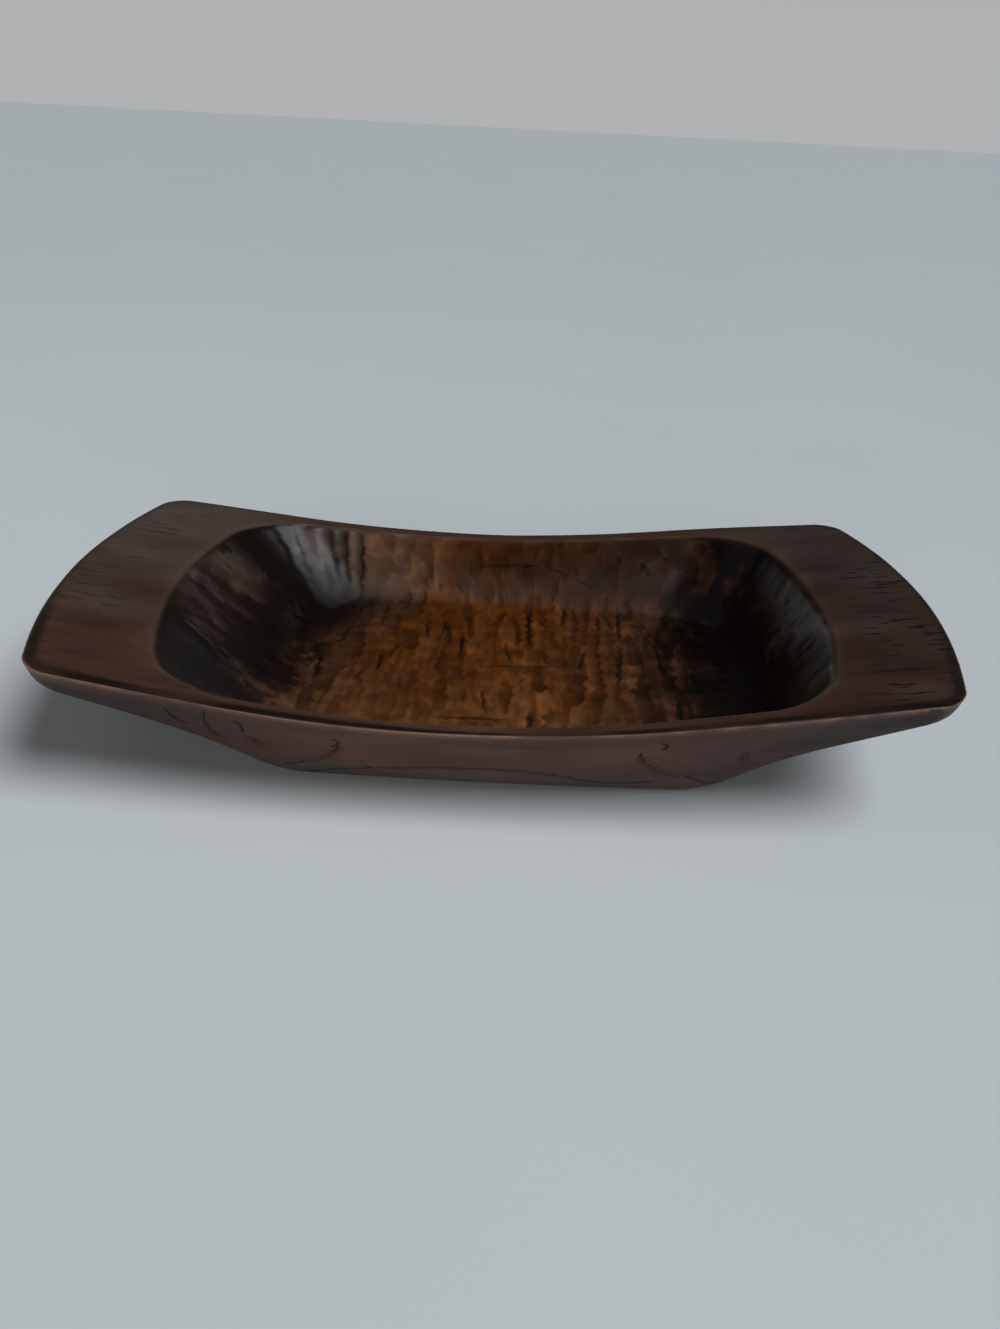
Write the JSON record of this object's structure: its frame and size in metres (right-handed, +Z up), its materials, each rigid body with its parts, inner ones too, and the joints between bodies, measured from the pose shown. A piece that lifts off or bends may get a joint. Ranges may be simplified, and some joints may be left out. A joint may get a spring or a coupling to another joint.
{
  "type": "dough bowl",
  "caption": "Shallow oblong wooden dough bowl hewn from one block, with a flat base, a swept rim, broad flat wings at both ends for lifting, and a gouged hollow.",
  "frame": {"origin": "middle of the base, on the surface that the bowl stands on", "axes": "+X along the bowl, towards the higher wing; +Z up"},
  "size_m": [0.4974, 0.2664, 0.0822],
  "materials": {
    "stained_wood": "satin"
  },
  "bodies": {
    "root": {"carved_bowl": "stained_wood"}
  },
  "joints": []
}
